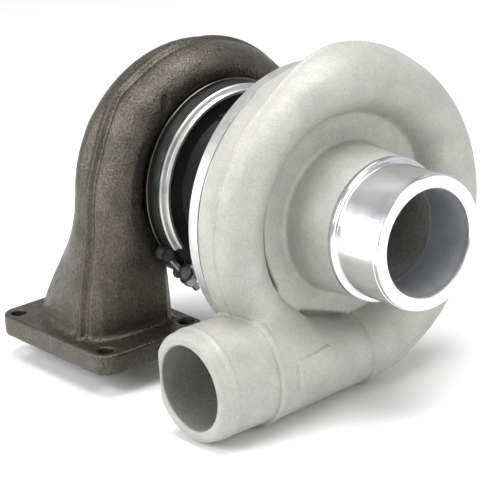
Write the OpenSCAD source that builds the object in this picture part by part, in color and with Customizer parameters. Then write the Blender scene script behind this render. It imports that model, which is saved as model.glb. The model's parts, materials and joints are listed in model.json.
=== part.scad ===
// Journal-bearing diesel turbocharger with a V-band joint at each end of the bearing housing.
// The shaft runs along X with the compressor inlet towards +X. The origin is the centre of
// the foot's bolt pattern, on the foot's underside. All sizes are in millimetres.

/* [Foot] */
// Length of the turbine foot along the shaft
foot_l = 147; // [144:1:156]
// Width of the turbine foot across the shaft
foot_w = 103; // [100:1:110]
// Thickness of the turbine foot
foot_t = 17; // [14:1:20]
// Stud spacing along the shaft
stud_x = 119; // [116:1:122]
// Stud spacing across the shaft
stud_y = 80; // [78:1:82]
// Diameter of the stud holes
stud_d = 13; // [11:0.5:14]

/* [Shaft line] */
// Height of the shaft above the foot's underside
shaft_z = 122; // [120:1:128]
// Sideways distance from the foot's centre to the shaft
shaft_y = 96; // [94:1:98]

/* [Compressor cover] */
// Outside diameter of the turned inlet sleeve
inlet_d = 103; // [100:0.5:105]
// Diameter of the inlet bore at its mouth
inlet_bore_d = 81.6; // [79:0.2:83]
// Outside diameter of the outlet spigot
outlet_d = 87; // [84:0.5:89]
// Diameter of the outlet bore
outlet_bore_d = 66.4; // [62:0.2:70]

/* [Wheels] */
// Outside diameter of the compressor wheel
compressor_wheel_d = 100; // [98:0.5:100]
// Number of compressor blades, long and short together
compressor_blades = 14; // [10:2:16]
// Outside diameter of the turbine wheel
turbine_wheel_d = 88; // [86:0.5:88]
// Number of turbine blades
turbine_blades = 11; // [9:1:12]

/* [Hidden] */
$fn = 96;

cast_iron = [0.33, 0.30, 0.27];
dark_iron = [0.12, 0.12, 0.12];
cast_aluminium = [0.80, 0.79, 0.76];
stainless = [0.72, 0.72, 0.73];
steel = [0.50, 0.50, 0.52];
bronze = [0.72, 0.52, 0.25];
seal_black = [0.05, 0.05, 0.05];

// Stations along the shaft
turbine_joint_x = 64.5;
compressor_joint_x = 152.5;
diffuser_face_x = 163;
plateau_x = 193;
lip_x = 242.5;
inlet_x = 287;
outlet_y = -152;
turbine_outlet_x = -66;

// Running surfaces
journal_r = 8.5;
stub_r = 7;
stub_bore_r = 7.02;
bush_bore_r = 8.56;
bush_r = 13.5;
bush_seat_r = 13.58;
seal_land_r = 12.25;
seal_bore_r = 12.6;
wheel_gap = 0.4;

// ---------------------------------------------------------------- helpers

module on_shaft() {
    translate([0, shaft_y, shaft_z]) children();
}

// Turns a profile of [radius, station] points about the shaft line
module turned(profile) {
    rotate([0, 90, 0]) rotate_extrude() polygon(profile);
}

// A turned ring that covers only part of the circle
module turned_arc(profile, start, sweep) {
    rotate([start, 0, 0]) rotate([0, 90, 0]) rotate([0, 0, 90]) rotate_extrude(angle = sweep) polygon(profile);
}

// A plain disc or drum along the shaft
module drum(r, x0, x1) {
    translate([x0, 0, 0]) rotate([0, 90, 0]) cylinder(r = r, h = x1 - x0);
}

module washer(r_out, r_in, x0, x1) {
    turned([[r_in, x0], [r_out, x0], [r_out, x1], [r_in, x1]]);
}

// Copies children round the shaft
module round_shaft(count, first = 0) {
    for (i = [0 : count - 1]) {
        rotate([first + i * 360 / count, 0, 0]) children();
    }
}

function signed_power(v, e) = sign(v) * pow(abs(v), e);
function mix(a, b, t) = a + (b - a) * t;
function ease(t) = let (u = min(max(t, 0), 1)) u * u * (3 - 2 * u);

// A section is [centre, outward direction, half height, front half width, back half width,
// squareness]. Its points run round from the outside, with the front half towards +X.
function section_points(s, count) = [
    for (i = [0 : count - 1])
        let (a = 360 * i / count, c = signed_power(cos(a), s[5]), w = signed_power(sin(a), s[5]))
            s[0] + s[1] * s[2] * c + [1, 0, 0] * (w > 0 ? s[3] : s[4]) * w
];

// Closed skin through rings of points, all with the same count
module skin(rings) {
    count = len(rings[0]);
    last = len(rings) - 1;
    walls = [
        for (j = [0 : last - 1], i = [0 : count - 1])
            let (n = (i + 1) % count, a = j * count + i, b = j * count + n)
                each [[a, b + count, b], [a, a + count, b + count]]
    ];
    start_cap = [for (i = [1 : count - 2]) [0, i, i + 1]];
    end_cap = [for (i = [1 : count - 2]) [last * count, last * count + i + 1, last * count + i]];
    polyhedron([for (r = rings) each r], concat(walls, start_cap, end_cap));
}

module duct(sections, count = 16) {
    skin([for (s = sections) section_points(s, count)]);
}

// Section of a scroll at a clock angle, thinned by a wall
function scroll_section(clock, centre_x, r_in, r_out, front, back, square, wall) = [
    [centre_x, cos(clock) * (r_in + r_out) / 2, sin(clock) * (r_in + r_out) / 2],
    [0, cos(clock), sin(clock)],
    (r_out - r_in) / 2 - wall, front - wall, back - wall, square
];

// ---------------------------------------------------------------- compressor cover

scroll_x = 186;
scroll_inner_r = 76.8;
tongue_clock = 205;
outlet_clock = -90;
cover_wall = 5.5;
front_bulge = 1.2;
back_bulge = 20;
duct_end_r = outlet_d / 2 + 1.5;
spigot_l = 52;
shoulder_r = outlet_d / 2 + 2.5;
shoulder_y = [95, 107.5];
outlet_drop = 95.5;

function cover_progress(clock) = (tongue_clock - clock) / (tongue_clock - outlet_clock);
function cover_half(clock) = 17 + 13.5 * pow(cover_progress(clock), 0.45);

// The hollow, with a wall above 0, starts a little after the tongue
function cover_sections(wall) = concat(
    [for (i = [0 : 19])
        let (clock = mix(tongue_clock - (wall > 0 ? 9 : 0), outlet_clock + 14.75, i / 19))
            scroll_section(clock, scroll_x, scroll_inner_r, scroll_inner_r + 2 * cover_half(clock),
                front_bulge * cover_half(clock), back_bulge, 1, wall)],
    [for (t = [0 : 0.2 : 1])
        let (start = cover_half(outlet_clock), half = mix(start, duct_end_r, ease(t)))
            [[scroll_x, mix(0, outlet_y + spigot_l - wall, t), -mix(scroll_inner_r + start, outlet_drop, ease(t))],
                [0, 0, -1], half - wall, mix(front_bulge * start, half, ease(t)) - wall,
                mix(back_bulge, back_bulge + 3, t) - wall, 1]]
);

// The wall that faces the compressor wheel, from the diffuser to the inlet mouth
function shroud_curve(gap) = let (tip = compressor_wheel_d / 2) [
    for (a = [0 : 7.5 : 90]) [36 + gap + (tip - 36) * (1 - sin(a)), 203 - (203 - 169.2 - gap) * cos(a)]
];

module cover_bore() {
    turned(concat(
        [[0, 150], [100, 150], [100, diffuser_face_x + 0.2], [92, diffuser_face_x + 0.2], [92, 169.6]],
        shroud_curve(wheel_gap),
        [[36.4, 222], [inlet_bore_d / 2, 245], [inlet_bore_d / 2, inlet_x - 1],
            [inlet_bore_d / 2 + 1, inlet_x + 0.01], [0, inlet_x + 0.01]]
    ));
}

module cover_body() {
    duct(cover_sections(0));
    // Rim with the V-band flange, the plateau and the turned neck
    turned([
        [30, compressor_joint_x + 0.2], [109, compressor_joint_x + 0.2], [106.6, 156.8], [103.8, 158],
        [103.8, 162], [114.5, diffuser_face_x], [117, 165.5], [117.5, 182], [113, 188], [80, 188],
        [78, plateau_x], [60, plateau_x], [57.5, 197], [55, 236], [55, lip_x], [52.5, lip_x + 1.5],
        [inlet_d / 2, lip_x + 1.5], [inlet_d / 2, inlet_x - 2], [inlet_d / 2 - 1, inlet_x], [30, inlet_x]
    ]);
    // Outlet spigot with its shoulder
    translate([scroll_x, 0, -outlet_drop]) rotate([90, 0, 0]) rotate_extrude() polygon([
        [0, shoulder_y[0]], [shoulder_r, shoulder_y[0]], [shoulder_r, shoulder_y[1]],
        [outlet_d / 2, shoulder_y[1]],
        [outlet_d / 2, -outlet_y - 14], [outlet_d / 2 - 1.2, -outlet_y - 3],
        [outlet_d / 2 - 3.5, -outlet_y], [0, -outlet_y]
    ]);
    // Flat pad on the side of the outlet duct
    translate([scroll_x + 30, -82, -outlet_drop - 14]) cube([13.8, 41, 25]);
}

module compressor_cover() {
    color(cast_aluminium) on_shaft() difference() {
        cover_body();
        duct(cover_sections(cover_wall));
        turned([[70, diffuser_face_x + 0.2], [100, diffuser_face_x + 0.2], [100, 172], [84, 176], [84, 169.6],
            [70, 169.6]]);
        cover_bore();
        translate([scroll_x, outlet_y + spigot_l - 1, -outlet_drop]) rotate([90, 0, 0])
            cylinder(r = outlet_bore_d / 2, h = spigot_l);
    }
}

// ---------------------------------------------------------------- turbine housing

volute_x = 23;
volute_inner_r = 57;
volute_wall = 6.5;
volute_end_clock = -148;
nozzle_r = 68;
nozzle_x = [13, 33.6];

// Tip path of the turbine blades from the outlet end to the nozzle
function turbine_shroud(gap) = let (tip = turbine_wheel_d / 2) [
    for (a = [90 : -10 : 0]) [36.6 + gap + (tip - 36.6) * (1 - sin(a)), -8 + (25 - gap) * cos(a)]
];

function volute_outer_r(clock) = 117 - 37 * pow((180 - clock) / 330, 1.2);
function volute_scale(clock) = (volute_outer_r(clock) - volute_inner_r) / 60;

// The leg from the foot up to the scroll, then the scroll round to its end
function leg_section(t) = let (z = mix(foot_t - 4, shaft_z, t), front = mix(-40, -21, ease(t)),
        back = 39) [
    [mix(3, volute_x, t), (front + back) / 2 - shaft_y, z - shaft_z], [0, -1, 0],
    (back - front) / 2, mix(42, 36, t), mix(42, 34, t), mix(0.45, 0.85, t)
];
function volute_section(clock) = scroll_section(clock, volute_x, volute_inner_r, volute_outer_r(clock),
    36 * pow(volute_scale(clock), 0.7), 34 * pow(volute_scale(clock), 0.9), 0.85, 0);
function volute_sections() = concat(
    [for (t = [0 : 0.2 : 0.8]) leg_section(t)],
    [for (clock = [180 : -13.6667 : volute_end_clock]) volute_section(clock)]
);

// The passages follow the same path in longer steps
function passage_path() = concat(
    [for (t = [0 : 0.3 : 0.9]) leg_section(t)],
    [for (clock = [170 : -22 : -142]) volute_section(clock)]
);

// One of the two gas passages: side is -1 for the outlet side and 1 for the bearing side
function passage_section(s, side) = let (width = (side > 0 ? s[3] : s[4]) - volute_wall) [
    s[0] + [side * (width / 2 + 1.5), 0, 0], s[1], s[2] - volute_wall,
    width / 2 - 1.5, width / 2 - 1.5, s[5]
];
function lower_foot(s) = [[s[0][0], s[0][1], -shaft_z - 1], s[1], s[2], s[3], s[4], s[5]];

module gas_passage(side) {
    sections = [for (s = passage_path()) passage_section(s, side)];
    duct(concat([lower_foot(sections[0])], sections), 8);
}

module foot() {
    translate([0, -shaft_y, -shaft_z]) linear_extrude(foot_t) union() {
        square([foot_l - 28, foot_w], center = true);
        square([foot_l, foot_w - 28], center = true);
        for (x = [-1, 1], y = [-1, 1]) {
            translate([x * (foot_l / 2 - 14), y * (foot_w / 2 - 14)]) circle(r = 14);
        }
    }
}

module turbine_housing() {
    color(cast_iron) on_shaft() difference() {
        union() {
            // The scroll's side is relieved round the V-band
            difference() {
                duct(volute_sections());
                drum(81.5, 53, 80);
            }
            foot();
            // Outlet barrel, body and the machined neck with the V-band flange
            turned([
                [30, turbine_outlet_x], [58, turbine_outlet_x], [58, turbine_outlet_x + 2.5],
                [53, turbine_outlet_x + 7], [53, -16], [62, -6], [72, 48], [80.7, 50], [80.7, 54],
                [73, 55], [71, 57], [71, 60], [76.2, 62.6], [76.2, turbine_joint_x - 0.2],
                [62, turbine_joint_x - 0.2], [40, 34], [40, 10]
            ]);
        }
        for (side = [-1, 1]) {
            gas_passage(side);
        }
        // Wheel chamber, outlet cone and the bore for the bearing housing
        turned(concat(
            [[0, turbine_outlet_x - 1], [47, turbine_outlet_x - 1], [37, -34]], turbine_shroud(wheel_gap),
            [[nozzle_r, nozzle_x[0]], [nozzle_r, nozzle_x[1]], [58, 37], [58, 48.8], [67.1, 48.8],
                [67.1, turbine_joint_x + 1], [0, turbine_joint_x + 1]]
        ));
        for (x = [-1, 1], y = [-1, 1]) {
            translate([x * stud_x / 2, y * stud_y / 2 - shaft_y, -shaft_z - 1])
                cylinder(d = stud_d, h = foot_t + 2);
        }
    }
}

// ---------------------------------------------------------------- bearing housing

oil_pad_z = 64;
oil_in_r = 7;
oil_drain_r = 14;
oil_pad_bolts = 19;
drain_bolts = 26;
snap_ring_x = [66.4, 86.4, 102.4, 122.4];

module bearing_housing() {
    color(dark_iron) on_shaft() difference() {
        union() {
            turned([
                [seal_bore_r, 41], [24, 41], [27, 50.05], [67, 50.05], [67, turbine_joint_x + 0.2],
                [76.4, turbine_joint_x + 0.2], [76.4, 67.5], [71, 70], [60, 72], [50, 84], [50, 124],
                [62, 132], [70, 138], [94, 138], [94, 148], [38.1, 148], [38.1, 134],
                [19, 134], [19, 126], [bush_seat_r, 126], [bush_seat_r, 62], [seal_bore_r, 60]
            ]);
            // Oil inlet pad on top and drain pad below
            translate([82, -27, 20]) cube([26, 54, oil_pad_z - 20]);
            translate([74, -37, -oil_pad_z]) cube([42, 74, 30]);
        }
        // Oil space round the bearing carrier, joined to the drain
        turned([[21, 76], [43, 80], [43, 122], [30, 127], [21, 124]]);
        translate([95, 0, -oil_pad_z - 1]) cylinder(r = oil_drain_r, h = 45);
        // Feed gallery with a drop to each bush
        translate([95, 0, 17]) cylinder(r = oil_in_r - 3, h = oil_pad_z);
        translate([95, 0, oil_pad_z - 12]) cylinder(r = oil_in_r, h = 13);
        translate([77, 0, 17]) rotate([0, 90, 0]) cylinder(r = 2, h = 36);
        for (x = [77, 113]) {
            translate([x, 0, 0]) cylinder(r = 1.5, h = 17);
        }
        for (y = [-1, 1]) {
            translate([95, y * oil_pad_bolts, oil_pad_z - 16]) cylinder(r = 3.4, h = 17);
            translate([95, y * drain_bolts, -oil_pad_z - 1]) cylinder(r = 4.2, h = 17);
        }
        // Snap ring seats and screw holes
        for (x = snap_ring_x) {
            washer(14.6, 10, x - 0.1, x + 1.3);
        }
        washer(40, 30, 145.8, 147.6);
        round_shaft(8, 22.5) translate([137, 84, 0]) rotate([0, 90, 0]) cylinder(r = 4.4, h = 12);
        round_shaft(3, 30) translate([128, 27, 0]) rotate([0, 90, 0]) cylinder(r = 2.1, h = 7);
    }
}

// ---------------------------------------------------------------- V-bands

// Strap with a folded eye at each end of its gap. The eyes hold the T-bolt and the trunnion.
band_gap = 9;
eye_r = 6;
pin_r = 4.8;

function eye_y(r) = r * sin(band_gap);
function eye_z(r) = r * cos(band_gap) + eye_r - 0.2;

module band_strap(r, x0, x1, clock) {
    rotate([clock, 0, 0]) difference() {
        union() {
            turned_arc([[r, x0], [r + 1, x0], [r + 1, x1], [r, x1]], 90 + band_gap, 360 - 2 * band_gap);
            for (side = [-1, 1]) {
                translate([0, side * eye_y(r), eye_z(r)]) drum(eye_r, x0, x1);
            }
        }
        for (side = [-1, 1]) {
            translate([0, side * eye_y(r), eye_z(r)]) drum(pin_r + 0.05, x0 - 1, x1 + 1);
        }
        translate([(x0 + x1) / 2 - 3.4, -eye_y(r) - 9, eye_z(r) - 3.4])
            cube([6.8, 2 * eye_y(r) + 18, 12]);
    }
}

// Two V-section segments that draw the two flanges together
retainer_gap = 8;
retainer_sweep = 170;

module band_retainers(profile, clock) {
    for (i = [0 : 1]) {
        turned_arc(profile, clock + 90 + retainer_gap + i * (retainer_sweep + 4), retainer_sweep);
    }
}

// A flip of 1 puts the T-bolt's nut at the other side of the gap
module band_t_bolt(r, x0, x1, clock, flip) {
    mid = (x0 + x1) / 2;
    rotate([clock, 0, 0]) mirror([0, flip, 0]) {
        translate([0, -eye_y(r), eye_z(r)]) drum(pin_r, x0, x1);
        translate([mid, -eye_y(r), eye_z(r)]) rotate([-90, 0, 0]) cylinder(r = 3, h = 2 * eye_y(r) + 22);
    }
}

module band_trunnion(r, x0, x1, clock, flip) {
    mid = (x0 + x1) / 2;
    rotate([clock, 0, 0]) mirror([0, flip, 0]) translate([0, eye_y(r), eye_z(r)]) difference() {
        drum(pin_r, x0, x1);
        translate([mid, -10, 0]) rotate([-90, 0, 0]) cylinder(r = 3.15, h = 20);
    }
}

module band_nut(r, x0, x1, clock, flip) {
    mid = (x0 + x1) / 2;
    rotate([clock, 0, 0]) mirror([0, flip, 0])
        translate([mid, eye_y(r) + eye_r + 0.1, eye_z(r)]) rotate([-90, 0, 0]) difference() {
            union() {
                cylinder(r = 6.2, h = 1.2);
                cylinder(r = 5.77, h = 7, $fn = 6);
                cylinder(r = 4.6, h = 8.5);
            }
            translate([0, 0, -1]) cylinder(r = 3.05, h = 11);
        }
}

rear_r = 79;
rear_x = [58, 67];
rear_clock = 128;
rear_profile = [
    [72.6, 57.4], [78.9, 61], [78.9, 67.8], [78, 68.9], [75.6, 70.1], [75.6, 72.2], [74.6, 73.4],
    [72.6, 73.4], [72.6, 71.6], [74, 71.4], [74, 69.6], [77.2, 67], [77.2, 62], [72.6, 59.6]
];
front_r = 111.6;
front_x = [147.4, 157.2];
front_clock = -68;
front_profile = [
    [105.6, 144.6], [111.5, 148.6], [111.5, 157.6], [112.2, 158.6], [112.2, 160.4], [111, 161.4],
    [109.4, 161.2], [109.8, 158.4], [106.4, 160.2], [105.6, 158.6], [109.9, 155.6], [109.9, 149.6],
    [105.6, 146.8]
];

module rear_band_strap() {
    color(stainless) on_shaft() band_strap(rear_r, rear_x[0], rear_x[1], rear_clock);
}
module rear_band_retainers() {
    color(stainless) on_shaft() band_retainers(rear_profile, rear_clock);
}
module rear_band_t_bolt() {
    color(steel) on_shaft() band_t_bolt(rear_r, rear_x[0], rear_x[1], rear_clock, 1);
}
module rear_band_trunnion() {
    color(steel) on_shaft() band_trunnion(rear_r, rear_x[0], rear_x[1], rear_clock, 1);
}
module rear_band_nut() {
    color(steel) on_shaft() band_nut(rear_r, rear_x[0], rear_x[1], rear_clock, 1);
}
module front_band_strap() {
    color(stainless) on_shaft() band_strap(front_r, front_x[0], front_x[1], front_clock);
}
module front_band_retainers() {
    color(stainless) on_shaft() band_retainers(front_profile, front_clock);
}
module front_band_t_bolt() {
    color(steel) on_shaft() band_t_bolt(front_r, front_x[0], front_x[1], front_clock, 0);
}
module front_band_trunnion() {
    color(steel) on_shaft() band_trunnion(front_r, front_x[0], front_x[1], front_clock, 0);
}
module front_band_nut() {
    color(steel) on_shaft() band_nut(front_r, front_x[0], front_x[1], front_clock, 0);
}

// ---------------------------------------------------------------- wheels and shaft

// Hub line under the compressor blades: a runs from 0 at the rim to 90 at the eye
function compressor_hub(a) = [12.5 + (compressor_wheel_d / 2 - 12.5) * (1 - sin(a)), 203 - 41 * cos(a)];
function compressor_tip(a) = [36 + (compressor_wheel_d / 2 - 36) * (1 - sin(a)), 203 - 33.8 * cos(a)];
function turbine_hub(a) = [12 + (turbine_wheel_d / 2 - 12) * (1 - sin(a)), -8 + 41 * cos(a)];
function turbine_tip(a) = [36.6 + (turbine_wheel_d / 2 - 36.6) * (1 - sin(a)), -8 + 25 * cos(a)];

// A point at a [radius, station] and a clock angle, moved sideways by half the blade
function blade_point(p, clock, side) = [p[1], p[0] * cos(clock) - side * sin(clock),
    p[0] * sin(clock) + side * cos(clock)];
function blade_ring(hub, tip, clock, thick) = [
    blade_point([hub[0] - 1.5, hub[1]], clock, thick), blade_point(tip, clock, thick * 0.4),
    blade_point(tip, clock, -thick * 0.4), blade_point([hub[0] - 1.5, hub[1]], clock, -thick)
];

module compressor_blade(first) {
    skin([for (i = [0 : 9])
        let (a = first * (1 - i / 9))
            blade_ring(compressor_hub(a), compressor_tip(a), 62 * (90 - a) / 90, 0.9)]);
}

module compressor_wheel() {
    color(cast_aluminium) on_shaft() {
        turned(concat(
            [[stub_bore_r, 154], [13, 154], [13, 158.9], [compressor_wheel_d / 2, 159.2]],
            [for (a = [0 : 7.5 : 90]) compressor_hub(a)],
            [[12.5, 211], [stub_bore_r, 211]]
        ));
        round_shaft(compressor_blades / 2) {
            compressor_blade(88);
        }
        round_shaft(compressor_blades / 2, 360 / compressor_blades) {
            compressor_blade(58);
        }
    }
}

module turbine_blade() {
    skin([for (i = [0 : 9])
        let (a = 88 * i / 9)
            blade_ring(turbine_hub(a), turbine_tip(a), 48 * pow(a / 90, 2), 1.3)]);
}

module turbine_shaft_wheel() {
    color(steel) on_shaft() {
        turned(concat(
            [[0, -16], [9, -16]],
            [for (a = [90 : -7.5 : 7.5]) turbine_hub(a)],
            [[40, 34], [40, 35.5], [28, 37], [seal_land_r, 38], [seal_land_r, 50], [10.4, 50], [10.4, 52.2],
                [seal_land_r, 52.2], [seal_land_r, 61.5], [journal_r, 61.5], [journal_r, 88], [7.8, 90],
                [7.8, 100], [journal_r, 102], [journal_r, 129.9], [stub_r, 129.9], [stub_r, 223], [0, 223]]
        ));
        round_shaft(turbine_blades) {
            turbine_blade();
        }
    }
}

module wheel_locknut() {
    color(steel) on_shaft() difference() {
        union() {
            drum(11, 211, 213);
            translate([213, 0, 0]) rotate([0, 90, 0]) cylinder(r = 10.4, h = 7, $fn = 6);
        }
        drum(stub_bore_r, 210, 221);
    }
}

module thrust_collar() {
    color(steel) on_shaft() turned([
        [stub_bore_r, 129.9], [18, 129.9], [18, 133.7], [10.4, 133.7], [10.4, 137.8], [stub_bore_r, 137.8]
    ]);
}

module oil_slinger() {
    color(steel) on_shaft() turned([
        [stub_bore_r, 137.8], [16, 137.8], [16, 140], [seal_land_r, 140], [seal_land_r, 146], [10.4, 146],
        [10.4, 148.2], [seal_land_r, 148.2], [seal_land_r, 154], [stub_bore_r, 154]
    ]);
}

// ---------------------------------------------------------------- bearings and seals

bush_l = 18;
bush_chamfer = 0.8;

module journal_bush(x0) {
    x1 = x0 + bush_l;
    difference() {
        turned([
            [bush_bore_r, x0 + bush_chamfer], [bush_bore_r + bush_chamfer, x0], [bush_r - bush_chamfer, x0],
            [bush_r, x0 + bush_chamfer], [bush_r, x1 - bush_chamfer], [bush_r - bush_chamfer, x1],
            [bush_bore_r + bush_chamfer, x1], [bush_bore_r, x1 - bush_chamfer]
        ]);
        round_shaft(6) translate([x0 + bush_l / 2, bush_bore_r - 1, 0]) rotate([-90, 0, 0])
            cylinder(r = 1.6, h = 8);
    }
}

module turbine_journal_bearing() {
    color(bronze) on_shaft() journal_bush(68);
}
module compressor_journal_bearing() {
    color(bronze) on_shaft() journal_bush(104);
}

module bearing_snap_rings() {
    color(steel) on_shaft() {
        for (x = snap_ring_x) {
            turned_arc([[11.4, x], [14.5, x], [14.5, x + 1.2], [11.4, x + 1.2]], 290, 320);
        }
    }
}

module thrust_bearing() {
    color(bronze) on_shaft() difference() {
        washer(34, 10.8, 134, 137.5);
        // Oil grooves between the pads and the countersunk screw holes
        round_shaft(6) translate([136.7, 0, -1]) cube([2, 17, 2]);
        round_shaft(3, 30) translate([133, 27, 0]) rotate([0, 90, 0]) cylinder(r = 2.2, h = 6);
        round_shaft(3, 30) translate([135.4, 27, 0]) rotate([0, 90, 0]) cylinder(r1 = 2.2, r2 = 4.4, h = 2.2);
    }
}

module thrust_bearing_screws() {
    color(steel) on_shaft() round_shaft(3, 30) translate([0, 27, 0]) difference() {
        turned([[0, 128.5], [2, 128.5], [2, 135.4], [4, 137.4], [0, 137.4]]);
        translate([136.4, 0, 0]) rotate([0, 90, 0]) cylinder(r = 1.4, h = 2, $fn = 6);
    }
}

module oil_baffle() {
    color(steel) on_shaft() washer(36, 17.5, 138.2, 139.2);
}

module oil_seal_plate() {
    color(steel) on_shaft() turned([
        [seal_bore_r, 140.4], [38, 140.4], [38, 141.6], [35.2, 141.6], [35.2, 144.2], [38, 144.2],
        [38, 145.7], [20, 145.7], [20, 153], [seal_bore_r, 153]
    ]);
}

module seal_plate_snap_ring() {
    color(steel) on_shaft() turned_arc([[34.5, 145.9], [39.8, 145.9], [39.8, 147.4], [34.5, 147.4]], 285, 330);
}

module ring_seal(r, half, x) {
    rotate([0, 90, 0]) translate([0, 0, x]) rotate_extrude() translate([r, 0]) circle(r = half);
}

module seal_plate_o_ring() {
    color(seal_black) on_shaft() ring_seal(36.6, 1.25, 142.9);
}
module cover_o_ring() {
    color(seal_black) on_shaft() ring_seal(98.45, 1.4, 157.5);
}

module piston_ring(x) {
    turned_arc([[10.9, x], [12.57, x], [12.57, x + 1.6], [10.9, x + 1.6]], 90, 356);
}
module turbine_piston_ring() {
    color(steel) on_shaft() piston_ring(50.3);
}
module compressor_piston_ring() {
    color(steel) on_shaft() piston_ring(146.3);
}

module heat_shield() {
    color(steel) on_shaft() turned([
        [25, 38.6], [55, 38.6], [57, 40.6], [57, 48.85], [66.9, 48.85], [66.9, 50], [55.8, 50],
        [55.8, 41.2], [54.4, 39.8], [25, 39.8]
    ]);
}

screw_circle_r = 84;

module diffuser_plate() {
    color(cast_aluminium) on_shaft() difference() {
        turned([
            [22, 148.05], [103.8, 148.05], [106.6, 148.6], [109, 151], [109, compressor_joint_x - 0.2],
            [99.9, compressor_joint_x - 0.2], [99.9, 155.8], [97, 155.8], [97, 159.2], [99.9, 159.2],
            [99.9, 162.5], [99.4, diffuser_face_x], [51, diffuser_face_x], [51, 158.4], [16, 158.4],
            [16, 154.5], [22, 154.5]
        ]);
        round_shaft(8, 22.5) translate([147, screw_circle_r, 0]) rotate([0, 90, 0]) cylinder(r = 4.05, h = 11);
    }
}

module diffuser_screws() {
    color(steel) on_shaft() round_shaft(8, 22.5) translate([0, screw_circle_r, 0]) {
        drum(4, 137.9, 157);
        difference() {
            drum(6.5, 129.8, 137.9);
            translate([129, 0, 0]) rotate([0, 90, 0]) cylinder(r = 3.9, h = 4, $fn = 6);
        }
    }
}

turbine_housing();
compressor_cover();
bearing_housing();
rear_band_strap();
rear_band_retainers();
rear_band_t_bolt();
rear_band_trunnion();
rear_band_nut();
front_band_strap();
front_band_retainers();
front_band_t_bolt();
front_band_trunnion();
front_band_nut();
compressor_wheel();
wheel_locknut();
turbine_shaft_wheel();
thrust_collar();
oil_slinger();
turbine_journal_bearing();
compressor_journal_bearing();
bearing_snap_rings();
thrust_bearing();
thrust_bearing_screws();
oil_baffle();
oil_seal_plate();
seal_plate_snap_ring();
seal_plate_o_ring();
turbine_piston_ring();
compressor_piston_ring();
heat_shield();
diffuser_plate();
diffuser_screws();
cover_o_ring();
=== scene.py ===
"""Looks of the turbocharger: sand-cast housings, turned faces, V-bands and studio light.

Shapes are in millimetres about the shaft line: x along the shaft towards the compressor
inlet, y across it, z up, r from the shaft and clock the angle from +y towards +z.
"""

import json
import math

import bpy
import numpy as np
from mathutils import Matrix, Vector


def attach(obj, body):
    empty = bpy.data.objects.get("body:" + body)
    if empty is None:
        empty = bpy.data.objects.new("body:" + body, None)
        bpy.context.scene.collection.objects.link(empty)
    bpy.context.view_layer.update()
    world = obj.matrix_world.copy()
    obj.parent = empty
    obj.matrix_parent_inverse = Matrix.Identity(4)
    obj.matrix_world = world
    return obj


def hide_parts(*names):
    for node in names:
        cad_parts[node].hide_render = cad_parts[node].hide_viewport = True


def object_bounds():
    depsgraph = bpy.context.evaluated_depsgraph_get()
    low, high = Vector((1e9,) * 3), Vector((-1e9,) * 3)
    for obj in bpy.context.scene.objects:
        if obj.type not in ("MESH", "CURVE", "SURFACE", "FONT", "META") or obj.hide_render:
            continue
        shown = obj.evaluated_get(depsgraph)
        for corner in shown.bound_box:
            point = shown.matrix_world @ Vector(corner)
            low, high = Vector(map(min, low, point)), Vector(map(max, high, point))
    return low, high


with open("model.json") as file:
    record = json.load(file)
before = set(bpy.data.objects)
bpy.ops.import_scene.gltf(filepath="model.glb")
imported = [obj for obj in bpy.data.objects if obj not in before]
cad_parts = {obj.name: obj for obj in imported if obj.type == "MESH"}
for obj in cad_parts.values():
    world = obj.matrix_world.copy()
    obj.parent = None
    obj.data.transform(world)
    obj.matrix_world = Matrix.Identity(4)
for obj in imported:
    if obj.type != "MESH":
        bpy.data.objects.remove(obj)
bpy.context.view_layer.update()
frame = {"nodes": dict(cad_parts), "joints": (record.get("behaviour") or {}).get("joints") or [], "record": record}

MM = 0.001
SHAFT = np.array(frame["joints"][0]["pos_m"]) / MM
NODES = frame["nodes"]
SLAB_LAYERS = 12  # grid layers that a field is worked out for at once
SETTLE_STEPS = 4  # times that a mesh's points are moved on to their surface
PROBE = 0.2  # half the distance over which a field's slope is taken
TURNING_DEPTH = 0.00008  # height of the lathe marks, in metres


# ------------------------------------------------------------------ fields


def ease(t):
    t = np.clip(t, 0, 1)
    return t * t * (3 - 2 * t)


def mix(a, b, t):
    return a + (b - a) * t


def join(a, b, k):
    """Union of two fields with a fillet of about k."""
    h = np.clip(0.5 + 0.5 * (b - a) / k, 0, 1)
    return b + (a - b) * h - k * h * (1 - h)


def common(a, b, k):
    """Intersection of two fields with its edge rounded by about k."""
    return -join(-a, -b, k)


def cut(a, b, k=0.8):
    """Field a with b taken away, its edge rounded by about k."""
    return common(a, -b, k)


def bump(v, centre, width):
    return np.exp(-(((v - centre) / width) ** 2))


def outline_field(points, u, v):
    """Distance to a closed outline in the u, v plane, negative inside."""
    nearest = np.full(u.shape, 1e9)
    inside = np.zeros(u.shape, bool)
    for (au, av), (bu, bv) in zip(points, points[1:] + points[:1]):
        eu, ev = bu - au, bv - av
        t = np.clip(((u - au) * eu + (v - av) * ev) / (eu * eu + ev * ev), 0, 1)
        nearest = np.minimum(nearest, (u - au - eu * t) ** 2 + (v - av - ev * t) ** 2)
        crosses = (av <= v) != (bv <= v)
        inside ^= crosses & (u < au + (v - av) * eu / (ev or 1))
    return np.where(inside, -1, 1) * np.sqrt(nearest)


def tabled(points, low, high, step=0.5):
    """The outline's field, worked out once on a fine grid and read back smoothly."""
    us, vs = (np.arange(a, b + step, step) for a, b in zip(low, high))
    table = outline_field(points, *np.meshgrid(us, vs, indexing="ij"))

    def field(u, v):
        fu = np.clip((u - low[0]) / step, 0, len(us) - 1.001)
        fv = np.clip((v - low[1]) / step, 0, len(vs) - 1.001)
        i, j = fu.astype(int), fv.astype(int)
        a, b = fu - i, fv - j
        return (table[i, j] * (1 - a) + table[i + 1, j] * a) * (1 - b) + (
            table[i, j + 1] * (1 - a) + table[i + 1, j + 1] * a
        ) * b

    return field


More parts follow.
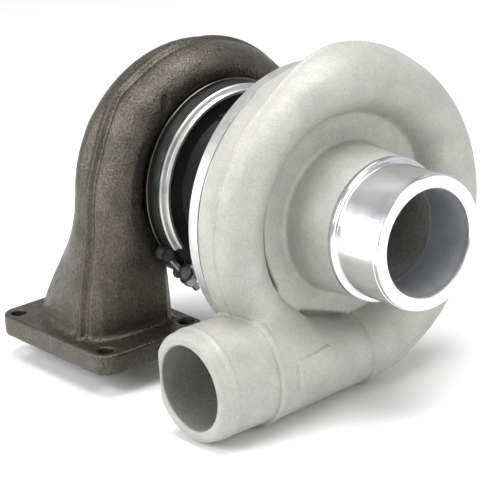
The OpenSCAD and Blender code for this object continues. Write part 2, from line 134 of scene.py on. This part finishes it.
def egg(u, v, half_u, half_v, power=2.0):
    """Distance, near the skin, to an oval with its own half sizes."""
    if power == 2.0:
        near = np.hypot(u / half_u, v / half_v)
        slope = np.hypot(u / half_u**2, v / half_v**2)
        return near * (near - 1) / np.maximum(slope, 1e-6)
    a, b = np.abs(u / half_u) + 1e-9, np.abs(v / half_v) + 1e-9
    near = (a**power + b**power) ** (1 / power)
    slope = np.hypot((a / near) ** (power - 1) / half_u, (b / near) ** (power - 1) / half_v)
    return (near - 1) / slope


def arc(radius, first, last, step=4):
    """Points of an arc about the shaft, from one clock angle to another."""
    count = max(2, int(abs(last - first) / step) + 1)
    return [
        (radius * math.cos(math.radians(a)), radius * math.sin(math.radians(a)))
        for a in np.linspace(first, last, count)
    ]


# ------------------------------------------------------------------ meshes


def skin_of(field, low, high, step):
    """Mesh of a field's zero surface: one vertex in each cell that the surface crosses,
    moved on to the surface, and one quad round each grid edge that it cuts."""
    axes = [np.arange(a, b + step, step, dtype=np.float32) for a, b in zip(low, high)]
    values = np.concatenate(
        [
            field(*np.meshgrid(part, axes[1], axes[2], indexing="ij"))
            for part in np.array_split(axes[0], max(1, len(axes[0]) // SLAB_LAYERS))
        ]
    )
    inside = values < 0
    shape = np.array(values.shape)
    cells = shape - 1
    total = np.zeros((*cells, 3), np.float32)
    count = np.zeros(cells, np.float32)
    for axis in range(3):
        others = [a for a in range(3) if a != axis]
        head = [slice(None)] * 3
        tail = [slice(None)] * 3
        head[axis], tail[axis] = slice(0, -1), slice(1, None)
        v0, v1 = values[tuple(head)], values[tuple(tail)]
        crossed = (v0 < 0) != (v1 < 0)
        where = np.where(crossed, v0 / np.where(crossed, v0 - v1, 1), 0)
        for da in (0, 1):
            for db in (0, 1):
                span = [slice(None)] * 3
                span[others[0]] = slice(da, cells[others[0]] + da)
                span[others[1]] = slice(db, cells[others[1]] + db)
                hit, place = crossed[tuple(span)], where[tuple(span)]
                count += hit
                total[..., axis] += np.where(hit, place, 0)
                total[..., others[0]] += da * hit
                total[..., others[1]] += db * hit
    active = count > 0
    index = np.full(tuple(cells), -1)
    index[active] = np.arange(active.sum())
    corner = np.argwhere(active)
    points = (corner + total[active] / count[active][:, None]) * step + np.array(low)
    quads = []
    for axis in range(3):
        a, b = [(1, 2), (2, 0), (0, 1)][axis]
        head = [slice(1, -1)] * 3
        tail = [slice(1, -1)] * 3
        head[axis], tail[axis] = slice(0, -1), slice(1, None)
        s0, s1 = inside[tuple(head)], inside[tuple(tail)]
        for out, edges in ((False, np.argwhere(s0 & ~s1)), (True, np.argwhere(~s0 & s1))):
            edges = edges + [int(n != axis) for n in range(3)]
            ring = []
            for da, db in ((0, 0), (1, 0), (1, 1), (0, 1)):
                at = edges.copy()
                at[:, a] -= da
                at[:, b] -= db
                ring.append(index[tuple(at.T)])
            ring = np.stack(ring, 1)
            quads.append(ring[:, ::-1] if out else ring)
    for _ in range(SETTLE_STEPS):
        value = field(*points.T)
        slope = np.stack(
            [
                (field(*(points + move).T) - field(*(points - move).T)) / (2 * PROBE)
                for move in np.eye(3) * PROBE
            ],
            1,
        )
        shift = slope * (value / np.maximum((slope**2).sum(1), 0.2))[:, None]
        far = np.linalg.norm(shift, axis=1, keepdims=True)
        points = points - shift * np.minimum(1, 0.5 * step / np.maximum(far, 1e-6))
    return points, np.concatenate(quads)


def add_piece(name, points, faces, material, body="housings", node=None, smooth=True):
    """A mesh from points about the shaft, which rides on a body and may stand for a node."""
    data = bpy.data.meshes.new(name)
    places = ((np.asarray(points) + SHAFT) * MM).tolist()
    data.from_pydata(places, [], [list(map(int, face)) for face in faces])
    data.validate()
    data.materials.append(material)
    if smooth:
        data.shade_smooth()
    piece = bpy.data.objects.new(name, data)
    bpy.context.scene.collection.objects.link(piece)
    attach(piece, body)
    if node:
        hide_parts(node)
    return piece


def cast(name, field, low, high, step, material, **options):
    """A piece from a field, meshed between two corners on a grid of the given step."""
    return add_piece(name, *skin_of(field, low, high, step), material, **options)


def lathe(name, profile, material, centre=(0, 0), along="x", steps=192, **options):
    """A ring turned from a closed profile of (radius, station) points."""
    count = len(profile)
    points, faces = [], []
    for i in range(steps):
        a = 2 * math.pi * i / steps
        for radius, station in profile:
            ring = (radius * math.cos(a), radius * math.sin(a))
            if along == "x":
                points.append((station, centre[0] + ring[0], centre[1] + ring[1]))
            else:
                points.append((centre[0] - ring[0], station, centre[1] + ring[1]))
        for j in range(count):
            n, nj = (i + 1) % steps, (j + 1) % count
            faces.append((i * count + j, n * count + j, n * count + nj, i * count + nj))
    piece = add_piece(name, points, faces, material, smooth=False, **options)
    sharpen(piece)
    return piece


def sharpen(piece, angle=28):
    """Smooth shading with the real corners kept sharp."""
    piece.data.shade_smooth()
    piece.data.set_sharp_from_angle(angle=math.radians(angle))


def rounded(profile, radius, steps=3):
    """The profile with each corner turned into a small arc."""
    result = []
    count = len(profile)
    for i, corner in enumerate(profile):
        before, after = Vector(profile[i - 1]), Vector(profile[(i + 1) % count])
        corner = Vector(corner)
        into, away = corner - before, after - corner
        reach = min(radius, into.length * 0.45, away.length * 0.45)
        start, end = corner - into.normalized() * reach, corner + away.normalized() * reach
        for s in range(steps + 1):
            t = s / steps
            result.append(tuple(start.lerp(corner, t).lerp(corner.lerp(end, t), t)))
    return result


# ------------------------------------------------------------------ materials


def material(name, colour, roughness, metallic, **extra):
    """A surface with speckle, slow colour drift and a grain that catches the light.
    Sizes in extra are in millimetres."""
    made = bpy.data.materials.new(name)
    made.use_nodes = True
    tree = made.node_tree
    shader = tree.nodes["Principled BSDF"]
    shader.inputs["Metallic"].default_value = metallic
    link = tree.links.new

    def node(kind, **values):
        fresh = tree.nodes.new(kind)
        for key, value in values.items():
            if hasattr(fresh, key):
                setattr(fresh, key, value)
            else:
                fresh.inputs[key.replace("_", " ")].default_value = value
        return fresh

    place = node("ShaderNodeTexCoord").outputs["Object"]

    def noise(size, detail=3.0, stretch=(1, 1, 1)):
        scaled = node("ShaderNodeMapping")
        scaled.inputs["Scale"].default_value = stretch
        link(place, scaled.inputs["Vector"])
        made_noise = node("ShaderNodeTexNoise", Scale=1 / (size * MM), Detail=detail)
        link(scaled.outputs["Vector"], made_noise.inputs["Vector"])
        return made_noise.outputs["Fac"]

    def spread(source, low, high, start=0.3, end=0.7):
        ranged = node("ShaderNodeMapRange")
        for key, value in zip(("From Min", "From Max", "To Min", "To Max"), (start, end, low, high)):
            ranged.inputs[key].default_value = value
        link(source, ranged.inputs["Value"])
        return ranged.outputs["Result"]

    def times(a, b):
        product = node("ShaderNodeMath", operation="MULTIPLY")
        link(a, product.inputs[0])
        link(b, product.inputs[1])
        return product.outputs["Value"]

    speckle = extra.get("speckle", 0.1)
    drift = extra.get("drift", 0.06)
    grain = noise(extra.get("grain", 1.0), 4.0)
    shade = times(
        spread(grain, 1 - speckle, 1 + speckle),
        spread(noise(extra.get("patch", 22)), 1 - drift, 1 + drift),
    )
    tone = node("ShaderNodeMix", data_type="RGBA", blend_type="MULTIPLY")
    tone.inputs["Factor"].default_value = 1
    tint = node("ShaderNodeMix", data_type="RGBA")
    tint.inputs["A"].default_value = (*colour, 1)
    tint.inputs["B"].default_value = (*extra.get("second", colour), 1)
    link(spread(noise(extra.get("stain", 34), 4.0), 0, 1, 0.42, 0.62), tint.inputs["Factor"])
    link(tint.outputs["Result"], tone.inputs["A"])
    link(shade, tone.inputs["B"])
    link(tone.outputs["Result"], shader.inputs["Base Color"])
    shader.inputs["Specular IOR Level"].default_value = extra.get("specular", 0.5)

    wear = extra.get("roughness_drift", 0.06)
    link(
        spread(noise(extra.get("smear", 6)), roughness - wear, roughness + wear),
        shader.inputs["Roughness"],
    )
    relief = node(
        "ShaderNodeBump", Strength=extra.get("relief", 0.5), Distance=extra.get("depth", 0.4) * MM
    )
    link(grain, relief.inputs["Height"])
    normal = relief.outputs["Normal"]
    if "turned" in extra:
        rings = node("ShaderNodeBump", Strength=extra["turned"], Distance=TURNING_DEPTH)
        link(noise(0.7, 2.0, extra.get("turned_along", (1, 0.02, 0.02))), rings.inputs["Height"])
        link(normal, rings.inputs["Normal"])
        normal = rings.outputs["Normal"]
    link(normal, shader.inputs["Normal"])
    return made


COVER = material(
    "sand_cast_aluminium", (0.41, 0.405, 0.38), 0.56, 0.25, second=(0.37, 0.372, 0.352),
    grain=1.1, speckle=0.13, drift=0.05, relief=0.42, patch=30, stain=24,
)
TURNED = material(
    "turned_aluminium", (0.84, 0.84, 0.85), 0.17, 1.0, second=(0.79, 0.80, 0.83),
    grain=0.6, speckle=0.02, relief=0.0, turned=0.16, smear=9, roughness_drift=0.03,
)
INLET_BORE = material(
    "bored_aluminium", (0.78, 0.79, 0.83), 0.42, 0.9, second=(0.66, 0.68, 0.73),
    grain=0.7, speckle=0.08, relief=0.03, turned=0.5, smear=4,
)
THROAT = material(
    "cast_throat", (0.21, 0.208, 0.188), 0.6, 0.35, second=(0.16, 0.158, 0.144),
    grain=1.6, speckle=0.3, relief=0.6, patch=9,
)
OUTLET_BORE = material(
    "cast_outlet_bore", (0.30, 0.298, 0.278), 0.6, 0.3, second=(0.25, 0.248, 0.23),
    grain=1.3, speckle=0.2, relief=0.6, patch=12,
)
IRON = material(
    "sand_cast_iron", (0.098, 0.089, 0.074), 0.34, 0.8, second=(0.072, 0.067, 0.057),
    grain=1.5, speckle=0.42, drift=0.12, relief=1.0, depth=0.75, patch=16, stain=30, roughness_drift=0.1,
)
TURNED_IRON = material(
    "turned_iron", (0.24, 0.222, 0.19), 0.32, 0.95, second=(0.17, 0.16, 0.142),
    grain=0.8, speckle=0.08, relief=0.02, turned=0.3,
)
# Bearing housing: dark iron, its colour pushed near black as painted shade for the shade that falls on it between
# the two housings
DARK_IRON_WITH_PAINTED_SHADE = material(
    "dark_iron_with_painted_shade", (0.012, 0.011, 0.0105), 0.5, 0.0, second=(0.017, 0.015, 0.014),
    grain=1.8, speckle=0.3, relief=0.7, specular=0.22,
)
BAND = material(
    "rolled_stainless", (0.60, 0.60, 0.585), 0.38, 0.85, second=(0.47, 0.48, 0.475),
    grain=3.0, speckle=0.02, relief=0.0, turned=0.1, smear=14, stain=26, roughness_drift=0.07,
)
REAR_STRAP = material(
    "heat_tinted_strap", (0.155, 0.165, 0.155), 0.36, 0.9, second=(0.11, 0.12, 0.125),
    grain=3.0, speckle=0.03, relief=0.0, turned=0.1, smear=14, stain=26,
)
STEEL = material(
    "machined_steel", (0.42, 0.42, 0.43), 0.33, 1.0, grain=0.6, speckle=0.08, relief=0.08, turned=0.4,
)
WHEEL = material(
    "milled_aluminium", (0.66, 0.67, 0.69), 0.3, 1.0, grain=0.6, speckle=0.05, relief=0.08,
)
ALLOY = material(
    "cast_nickel_alloy", (0.30, 0.27, 0.24), 0.42, 0.9, second=(0.36, 0.30, 0.24),
    grain=0.9, speckle=0.15, relief=0.3,
)
BRONZE = material(
    "bearing_bronze", (0.62, 0.40, 0.16), 0.3, 1.0, grain=0.6, speckle=0.06, relief=0.08, turned=0.3,
)
RUBBER = material("seal_rubber", (0.015, 0.015, 0.016), 0.55, 0.0, grain=0.8, relief=0.1)

BY_SLOT = {
    "turbine_iron": IRON, "cover_aluminium": COVER, "dark_iron": DARK_IRON_WITH_PAINTED_SHADE,
    "band_stainless": BAND, "steel": STEEL, "wheel_aluminium": WHEEL,
    "wheel_alloy": ALLOY, "bronze": BRONZE, "seal_rubber": RUBBER,
}
for part in frame["record"]["subparts"]:
    shown = NODES[part["node"]]
    shown.data.materials.clear()
    tinted = part["node"] == "rear_band_strap"
    shown.data.materials.append(REAR_STRAP if tinted else BY_SLOT[part["material_slot"]])


# ------------------------------------------------------------------ compressor cover

RIM_X, PART_X, PLATEAU_X = 163.3, 184.0, 193.0
RIM_R, VALLEY_R, PLATEAU_R = 116.3, 79.0, 77.6
NECK_R, NECK_END_X, LIP_X, MOUTH_X = (57.5, 55.0), 238.0, 242.5, 287.0
SLEEVE_R, BORE_R, THROAT_R, BORE_END_X = 51.5, 40.8, 36.25, 245.0
OUTLET_X, OUTLET_Z, SPIGOT_Y = 186.0, -95.5, -100.0
SPIGOT_R, DUCT_END_R, OUTLET_BORE_R = 43.5, 45.6, 33.2
COVER_WALL = 5.5
FRONT_BULGE = 1.2  # the scroll's depth in front of its parting line, over its half height

# The plateau round the neck is a disc with a pointed corner over the outlet duct
plateau = tabled(
    arc(PLATEAU_R, 208, -30)
    + [(66, -48), (55, -69), (43, -80), (31, -85), (6, -82), (-28, -69), (-49, -62), (-60, -58.5),
       (-64.5, -50)],
    (-150, -150), (150, 150),
)
flange = tabled(
    [(20, 152.7), (109, 152.7), (106.6, 156.8), (103.8, 158), (103.8, 162), (106, 166), (20, 166)],
    (0, 140), (150, 200),
)
throat = tabled(
    [(0, 148), (100, 148), (100, 163.2), (92, 163.2), (92, 169.6), (50.4, 169.6), (45, 178),
     (40, 190), (37, 203), (36.4, 222), (BORE_R - 0.4, NECK_END_X), (BORE_R - 0.4, 300), (0, 300)],
    (0, 140), (150, 290),
)
spigot = tabled(
    [(0, 95), (45.6, 95), (45.9, 95.4), (45.9, 100.6), (45.5, 101), (SPIGOT_R, 101), (SPIGOT_R, 137.4),
     (43.9, 138.6), (43.9, 140.6), (43.0, 142.2), (42.6, 148.6), (40.6, 151.2), (39, 152), (0, 152)],
    (0, 80), (70, 160), 0.35,
)


def part_radius(clock):
    """Radius of the cover's parting line, which widens from the tongue to the outlet."""
    return 118.2 + 12.5 * ease((125 - clock) / 40) + 7.5 * np.clip((60 - clock) / 150, 0, 1)


def rounded_box(u, v, half_u, half_v, radius):
    """Distance to a rectangle with rounded corners."""
    qu, qv = np.abs(u) - half_u + radius, np.abs(v) - half_v + radius
    return np.hypot(np.maximum(qu, 0), np.maximum(qv, 0)) + np.minimum(np.maximum(qu, qv), 0) - radius


def cover_field(x, y, z):
    r = np.hypot(y, z)
    clock = np.degrees(np.arctan2(z, y))
    clock = np.where(clock < -90, clock + 360, clock)
    part_r = part_radius(clock)
    half = (part_r - VALLEY_R) / 2
    # Drum from the rim's corner out to the parting line, and the scroll's front before it
    cone = (r - mix(RIM_R, part_r, np.minimum((x - RIM_X) / (PART_X - RIM_X), 1))) * 0.85
    drum = common(common(cone, RIM_X - x, 1.2), x - PART_X, 1.2)
    front = egg(x - PART_X, r - VALLEY_R - half, np.where(x > PART_X, FRONT_BULGE * half, 6), half)
    scroll = join(drum, common(front, clock - 232, 3), 1.0)
    # Outlet duct
    t, overlap = np.clip(y / SPIGOT_Y, 0, 1), np.clip(y, 0, 70)
    high = mix(29.6, DUCT_END_R, ease(t)) - 0.03 * overlap
    drop = mix(-np.sqrt(108.6**2 - overlap**2), OUTLET_Z, ease(t))
    ahead = mix(35.4 - 0.03 * overlap, 43.2, ease(t))
    duct_x = x - mix(PART_X, OUTLET_X, t)
    wide = np.where(x > OUTLET_X, ahead, mix(20, 23, t))
    duct = egg(duct_x, z - drop, wide, high)
    pad = rounded_box(y + 61.5, z + 97, 20.5, 12.5, 5)
    pad = common(common(pad, duct - 2.2, 1.0), 200 - x, 1)
    pad = common(pad, x - 229.9, 1.2)
    duct = common(common(duct, SPIGOT_Y - y, 0.8), y - 52, 24)
    body = join(scroll, duct, 7)
    ridge = 0.9 * bump(x, PART_X, 1.2) * ease((r - part_r + 8) / 6) * ease((clock + 95) / 20)
    body = body - ridge * ease((218 - clock) / 12)
    flat = common(common(plateau(y, z), x - PLATEAU_X, 1.5), 165 - x, 1)
    body = join(body, flat, 1.8 + 4.5 * ease((clock + 10) / 50) * ease((190 - clock) / 50))
    neck = r - mix(*NECK_R, np.clip((x - 197) / 39, 0, 1))
    body = join(body, common(common(neck, x - NECK_END_X, 0.4), 165 - x, 1), 4)
    body = np.minimum(body, flange(r, x))
    out_r = np.hypot(x - OUTLET_X, z - OUTLET_Z)
    body = join(body, spigot(out_r, -y), 0.5)
    body = join(body, pad, 0.5)
    # Air passages
    deep = np.where(x > PART_X, FRONT_BULGE * half, 17) - COVER_WALL
    scroll_hollow = egg(x - PART_X, r - VALLEY_R - half, deep, half - COVER_WALL)
    scroll_hollow = common(scroll_hollow, clock - 190, 2)
    duct_hollow = egg(duct_x, z - drop, wide - COVER_WALL, high - COVER_WALL)
    duct_hollow = common(common(duct_hollow, SPIGOT_Y - 4 - y, 2), y - 8, 2)
    bore = common(out_r - OUTLET_BORE_R, y - SPIGOT_Y - 2, 2)
    slot = common(common(np.abs(x - 168) - 5, 80 - r, 1), r - 99, 1)
    hollow = np.minimum(np.minimum(join(scroll_hollow, duct_hollow, 3), bore), slot)
    body = cut(body, hollow, 1.0)
    return cut(body, throat(r, x), 0.8)


cast("compressor_cover_casting", cover_field, (150.6, -154, -141.5), (241, 137, 134), 1.25,
     COVER, node="compressor_cover")
lathe(
    "compressor_inlet_sleeve",
    [(BORE_R + 0.3, 237), (54.8, 237)]
    + rounded(
        [(54.9, NECK_END_X - 0.4), (55.3, NECK_END_X + 0.8), (55.3, LIP_X - 0.5), (54.4, LIP_X + 0.4)], 0.3
    )
    + [(53.2, LIP_X + 0.7), (52.4, LIP_X + 0.2), (51.7, LIP_X + 0.9), (SLEEVE_R, LIP_X + 1.8),
       (SLEEVE_R, MOUTH_X - 4.2), (SLEEVE_R - 0.35, MOUTH_X - 3.9), (SLEEVE_R - 0.6, MOUTH_X - 0.6),
       (SLEEVE_R - 1.1, MOUTH_X), (BORE_R + 0.9, MOUTH_X), (BORE_R + 0.3, MOUTH_X - 0.7)],
    TURNED, node="compressor_cover",
)
lathe(
    "compressor_inlet_bore",
    [(BORE_R + 0.6, BORE_END_X), (BORE_R + 0.6, MOUTH_X - 1.6), (BORE_R + 0.1, MOUTH_X - 1.2),
     (BORE_R + 0.1, MOUTH_X - 6), (BORE_R, MOUTH_X - 6.4), (BORE_R, BORE_END_X)],
    INLET_BORE, node="compressor_cover",
)
lathe(
    "compressor_outlet_bore",
    [(OUTLET_BORE_R + 0.7, -104), (OUTLET_BORE_R + 0.7, -151.2), (OUTLET_BORE_R - 0.1, -150.6),
     (OUTLET_BORE_R - 0.2, -104)],
    OUTLET_BORE, centre=(OUTLET_X, OUTLET_Z), along="y", node="compressor_cover",
)
lathe(
    "compressor_inlet_throat",
    [(BORE_R + 0.5, BORE_END_X), (THROAT_R + 0.4, 222), (THROAT_R + 0.4, 206), (THROAT_R, 206),
     (THROAT_R, 222), (BORE_R - 0.6, BORE_END_X - 1.5), (BORE_R - 0.3, BORE_END_X)],
    THROAT, node="compressor_cover",
)


# ------------------------------------------------------------------ turbine housing

VOLUTE_X, VOLUTE_INNER_R, RIDGE_X = 23.0, 57.0, 25.5
FOOT_THICKNESS = 17
FOOT_TOP, FOOT_BOTTOM, FOOT_Y = FOOT_THICKNESS - SHAFT[2], -SHAFT[2], -SHAFT[1]
FOOT_HALF, FOOT_CORNER = (73.5, 51.5), 14.0
STUD_HALF, STUD_HOLE_R = (59.5, 40.0), 6.5
GAS_WALL, DIVIDER_HALF = 6.5, 3.0
NECK_X = 54.6
BARREL_END_X, FLANGE_END_X = -58.0, -66.0
LOBE_AHEAD, LOBE_BEHIND, LOBE_HALF, LOBE_POWER = 36, 34, 30, 2.3

# Foot of the leg, seen from above, about the foot's centre
leg_base = tabled(
    [(-43, -29), (-27, -34), (-1, -38), (15, -40.5), (27, -39.5), (36, -36), (43, -28), (47, -15),
     (49, 3), (49, 30), (45, 37), (36, 39), (-33, 39), (-41, 36), (-46, 28), (-46.5, -22)],
    (-100, -90), (100, 90),
)
turbine_body = tabled(
    [(20, BARREL_END_X), (53, BARREL_END_X), (53, -16), (62, -6), (70, 40), (74, 48), (76, 50),
     (76, 50.8), (20, 50.8)],
    (0, -80), (110, 80),
)
wheel_chamber = tabled(
    [(0, -80), (47, -80), (47, -66), (37, -34), (37, -8), (38, 8), (44.4, 17), (68, 13), (68, 33.6),
     (58, 37), (58, 48.8), (67.1, 48.8), (67.1, 80), (0, 80)],
    (0, -80), (110, 80),
)


def ridge_radius(clock, x, r):
    """Radius of the scroll's crest. The two waves of the real casting are in its right-hand lobe."""
    shrink = 37 * (np.clip(180 - clock, 0, 330) / 330) ** 1.2
    waves = 2.7 * bump(clock, 134.5, 7) - 3.1 * bump(clock, 160, 13)
    return 117 - shrink + waves * ease((x - 6) / 16) * ease((r - 92) / 18)


def turbine_field(x, y, z):
    r = np.hypot(y, z)
    clock = np.degrees(np.arctan2(z, y))
    clock = np.where(clock < -164, clock + 360, clock)
    top_r = ridge_radius(clock, x, r)
    size = (top_r - VOLUTE_INNER_R) / 60
    half = LOBE_HALF * size
    wide = np.where(x > VOLUTE_X, LOBE_AHEAD * size**0.7, LOBE_BEHIND * size**0.9)
    # One oval section holds both gas passages, with its crest above the divider
    scroll = egg(x - VOLUTE_X, r - VOLUTE_INNER_R - half, wide, half, LOBE_POWER)
    scroll = common(scroll, clock - 188, 6)
    # Leg, from its base outline up to the scroll's own section
    t = np.clip((z - FOOT_TOP) / -FOOT_TOP, 0, 1)
    base = leg_base(x, y - FOOT_Y)
    wide = np.where(x > VOLUTE_X, LOBE_AHEAD, LOBE_BEHIND)
    top = egg(x - VOLUTE_X, y + 87, wide, LOBE_HALF, LOBE_POWER)
    leg = mix(base, top, 0.55 * t + 0.45 * ease(t))
    leg = common(common(leg, z - 3, 8), FOOT_BOTTOM + 4 - z, 1)
    # The side towards the band slopes down to the step ring
    flank = (x - 50.8 - 0.75 * (r - 81)) * 0.8
    gas = common(join(leg, scroll, 3), flank, 7)
    # Parting ridge with a narrow groove to its right and a shallow valley to its left
    edge = ease((r - top_r + 16) / 8) * (clock < 185) * (z > -6) + ease((-92 - y) / 8) * (z <= -6)
    gas = gas - edge * (
        1.9 * bump(x, RIDGE_X, 2.1)
        - 1.7 * bump(x, RIDGE_X + 4.6, 2.1)
        - 1.6 * bump(x, RIDGE_X - 7.5, 4.5)
    )
    foot = rounded_box(x, y - FOOT_Y, *FOOT_HALF, FOOT_CORNER)
    foot = common(common(foot, z - FOOT_TOP, 2.6), FOOT_BOTTOM - z, 2.0)
    body = join(gas, turbine_body(r, x), 9)
    body = join(body, foot, 6)
    middle = mix(3, VOLUTE_X, t)
    inner_leg = mix(base, top, t) + (z > 3) * 99
    passages = join(inner_leg, scroll, 3) + GAS_WALL
    passages = common(passages, DIVIDER_HALF - np.abs(x - middle), 2)
    body = cut(body, passages, 1)
    body = cut(body, wheel_chamber(r, x), 1)
    holes = np.hypot(np.abs(x) - STUD_HALF[0], np.abs(y - FOOT_Y) - STUD_HALF[1]) - STUD_HOLE_R
    body = cut(body, holes, 0.8)
    relief = common(r - 81.5, 50.3 - x, 0.5)
    return cut(body, relief, 0.5)


cast("turbine_housing_casting", turbine_field, (-76, -150.5, -124), (76, 118, 116), 1.4,
     IRON, node="turbine_housing")
lathe(
    "turbine_step_ring",
    [(70, 49.6), (80.5, 49.6), (80.7, 50.2), (80.7, 53.6), (80.4, 54), (74, NECK_X), (70, NECK_X)],
    TURNED_IRON, node="turbine_housing",
)
lathe(
    "turbine_neck_flange",
    [(66.9, 49.2), (74, 53.4), (73, NECK_X), (71.4, 56.6), (71, 57.4), (71, 60), (76.2, 62.4),
     (76.2, 64.3), (67.2, 64.3)],
    TURNED_IRON, node="turbine_housing",
)
lathe(
    "turbine_outlet_flange",
    [(46.4, BARREL_END_X), (47, FLANGE_END_X + 0.4), (47.4, FLANGE_END_X), (57.4, FLANGE_END_X),
     (58, FLANGE_END_X + 0.5), (58, FLANGE_END_X + 2.5), (53.4, -58.8), (53, BARREL_END_X)],
    TURNED_IRON, node="turbine_housing",
)


# ------------------------------------------------------------------ studio

scene = bpy.context.scene
scene.view_settings.view_transform = "Standard"

lens = bpy.data.cameras.new("camera")
camera = bpy.data.objects.new("camera", lens)
scene.collection.objects.link(camera)
right, up, back = (0.63127, 0.77285, -0.06480), (-0.22472, 0.26225, 0.93847), (0.74229, -0.57786, 0.33923)
camera_place = (1.5474, -1.0587, 0.7493)
camera.matrix_world = Matrix(
    [(*row, place) for row, place in zip(zip(right, up, back), camera_place)] + [(0, 0, 0, 1)]
)
lens.sensor_width, lens.lens = 36, 187.5
lens.clip_start, lens.clip_end = 0.05, 60
scene.camera = camera

world = bpy.data.worlds.new("studio")
scene.world = world
world.use_nodes = True
tree = world.node_tree
# Grey and dark cards round the shaft line give the turned metal something to mirror
heading = tree.nodes.new("ShaderNodeTexCoord").outputs["Generated"]
split = tree.nodes.new("ShaderNodeSeparateXYZ")
tree.links.new(heading, split.inputs["Vector"])
turn = tree.nodes.new("ShaderNodeMath")
turn.operation = "ARCTAN2"
tree.links.new(split.outputs["Z"], turn.inputs[0])
tree.links.new(split.outputs["Y"], turn.inputs[1])
share = tree.nodes.new("ShaderNodeMath")
share.operation = "DIVIDE"
share.inputs[1].default_value = math.pi
tree.links.new(turn.outputs["Value"], share.inputs[0])
cards = tree.nodes.new("ShaderNodeValToRGB")
ramp = cards.color_ramp
CARDS = ((0.0, 0.9), (0.2, 1.0), (0.25, 0.42), (0.36, 0.46), (0.4, 0.8), (0.7, 0.62), (0.78, 1.0),
         (0.9, 1.0), (0.915, 0.42), (1.0, 0.5))
for spot, (where, level) in enumerate(CARDS):
    stop = ramp.elements[spot] if spot < 2 else ramp.elements.new(where)
    stop.position, stop.color = where, (level, level, level, 1)
tree.links.new(share.outputs["Value"], cards.inputs["Fac"])
tree.links.new(cards.outputs["Color"], tree.nodes["Background"].inputs["Color"])
tree.nodes["Background"].inputs["Strength"].default_value = 0.8


def area_light(name, place, aim, size, power):
    """A rectangular softbox that looks at a point."""
    lamp = bpy.data.lights.new(name, "AREA")
    lamp.shape = "RECTANGLE"
    lamp.size, lamp.size_y = size
    lamp.energy = power
    held = bpy.data.objects.new(name, lamp)
    held.location = place
    held.rotation_euler = (Vector(aim) - Vector(place)).to_track_quat("-Z", "Y").to_euler()
    scene.collection.objects.link(held)


middle = (0.12, 0.06, 0.09)
area_light("overhead", (0.25, 0.1, 1.5), middle, (1.2, 1.2), 24)
area_light("key", (-0.2, -1.4, 1.0), middle, (0.9, 0.9), 15)
area_light("left", (-0.95, -1.2, 0.45), middle, (0.5, 0.9), 6)
area_light("fill", (1.6, 0.2, 0.5), middle, (0.8, 1.0), 6)

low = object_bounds()[0][2]
floor_mesh = bpy.data.meshes.new("floor")
floor_mesh.from_pydata([(-9, -9, low), (9, -9, low), (9, 9, low), (-9, 9, low)], [], [(0, 1, 2, 3)])
floor = bpy.data.objects.new("floor", floor_mesh)
scene.collection.objects.link(floor)
pale = bpy.data.materials.new("pale_floor")
pale.use_nodes = True
pale_inputs = pale.node_tree.nodes["Principled BSDF"].inputs
pale_inputs["Base Color"].default_value = (0.93, 0.93, 0.93, 1)
pale_inputs["Roughness"].default_value = 0.9
floor_mesh.materials.append(pale)
